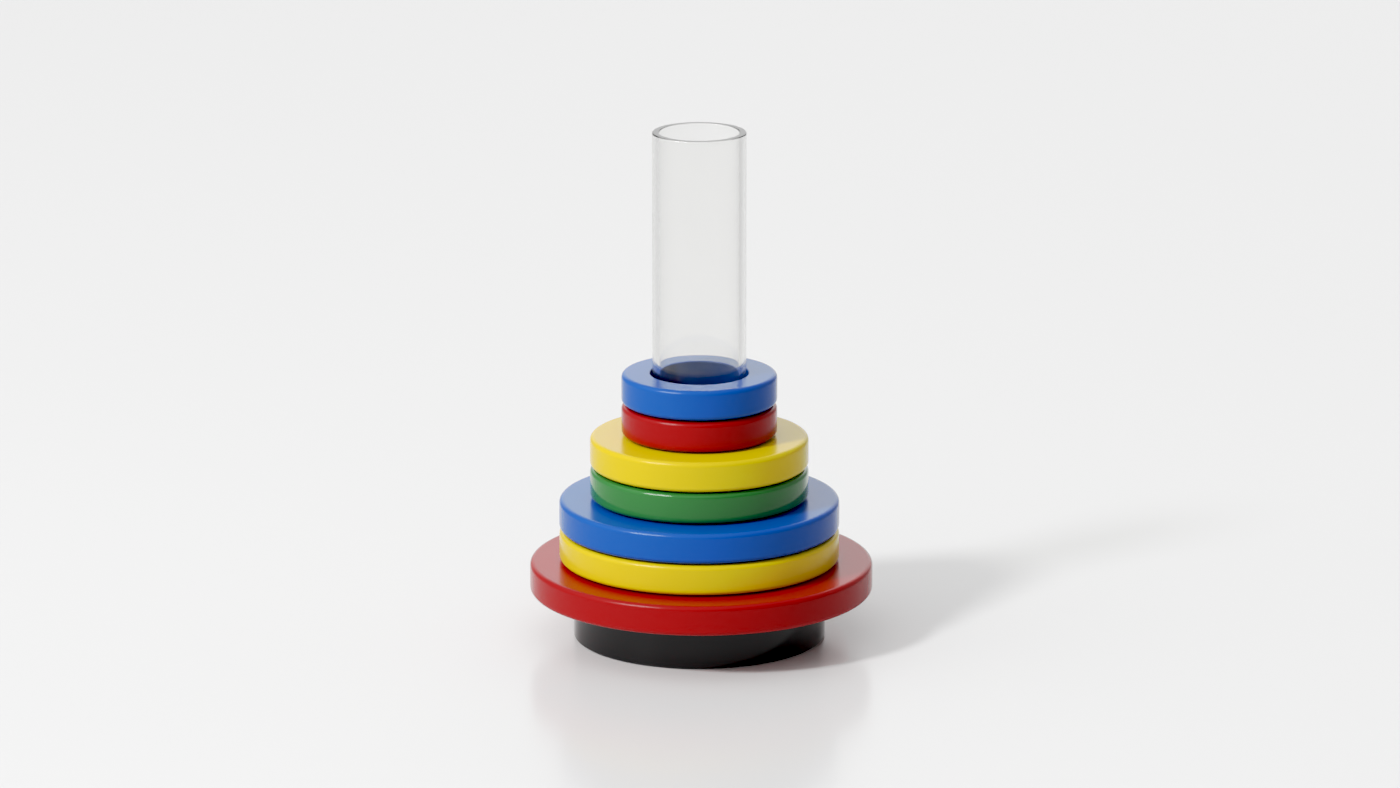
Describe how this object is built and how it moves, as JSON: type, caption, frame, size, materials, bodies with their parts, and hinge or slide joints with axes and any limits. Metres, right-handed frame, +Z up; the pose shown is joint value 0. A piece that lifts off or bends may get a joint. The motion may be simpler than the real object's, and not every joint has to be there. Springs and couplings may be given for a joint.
{
  "type": "tower of hanoi puzzle",
  "caption": "Ring-stacking puzzle tower: flat lacquered rings of stepped diameters lift off a clear open tube that stands in a weighted round black foot.",
  "frame": {"origin": "middle of the non-slip pad's underside, on the tube's axis", "axes": "+Z up along the tube; +X to the right and -Y towards a viewer in front"},
  "size_m": [0.147, 0.147, 0.221],
  "materials": {
    "red_lacquer": "smooth satin lacquer over turned wood, bright red",
    "yellow_lacquer": "smooth satin lacquer over turned wood, lemon yellow",
    "blue_lacquer": "smooth satin lacquer over turned wood, mid blue",
    "green_lacquer": "smooth glossy lacquer over turned wood, mid green",
    "clear_acrylic": "clear polished acrylic",
    "black_plastic": "satin moulded plastic, black",
    "black_rubber": "matt rubber, black",
    "zinc_plated_steel": "bright zinc plate",
    "brass": "turned brass"
  },
  "bodies": {
    "stand": {"clear_tube": "clear_acrylic", "foot_drum": "black_plastic", "bottom_cover": "black_plastic", "non_slip_pad": "black_rubber", "ballast_ring": "zinc_plated_steel", "cover_screws": "zinc_plated_steel", "tube_seat_ring": "black_rubber", "tube_plug": "black_plastic", "lower_o_ring": "black_rubber", "upper_o_ring": "black_rubber", "plug_insert": "brass", "plug_screw": "zinc_plated_steel", "plug_washer": "zinc_plated_steel"},
    "wide_red": {"wide_red_ring": "red_lacquer"},
    "large_yellow": {"large_yellow_ring": "yellow_lacquer"},
    "large_blue": {"large_blue_ring": "blue_lacquer"},
    "medium_green": {"medium_green_ring": "green_lacquer"},
    "medium_yellow": {"medium_yellow_ring": "yellow_lacquer"},
    "small_red": {"small_red_ring": "red_lacquer"},
    "small_blue": {"small_blue_ring": "blue_lacquer"}
  },
  "joints": [
    {"name": "lift_wide_red_ring", "type": "slide", "parent": "stand", "child": "wide_red", "axis": [0, 0, 1], "range_m": [0, 0.2055]},
    {"name": "lift_large_yellow_ring", "type": "slide", "parent": "wide_red", "child": "large_yellow", "axis": [0, 0, 1], "range_m": [0, 0.1917]},
    {"name": "lift_large_blue_ring", "type": "slide", "parent": "large_yellow", "child": "large_blue", "axis": [0, 0, 1], "range_m": [0, 0.1779]},
    {"name": "lift_medium_green_ring", "type": "slide", "parent": "large_blue", "child": "medium_green", "axis": [0, 0, 1], "range_m": [0, 0.1641]},
    {"name": "lift_medium_yellow_ring", "type": "slide", "parent": "medium_green", "child": "medium_yellow", "axis": [0, 0, 1], "range_m": [0, 0.1503]},
    {"name": "lift_small_red_ring", "type": "slide", "parent": "medium_yellow", "child": "small_red", "axis": [0, 0, 1], "range_m": [0, 0.1365]},
    {"name": "lift_small_blue_ring", "type": "slide", "parent": "small_red", "child": "small_blue", "axis": [0, 0, 1], "range_m": [0, 0.1227]}
  ]
}
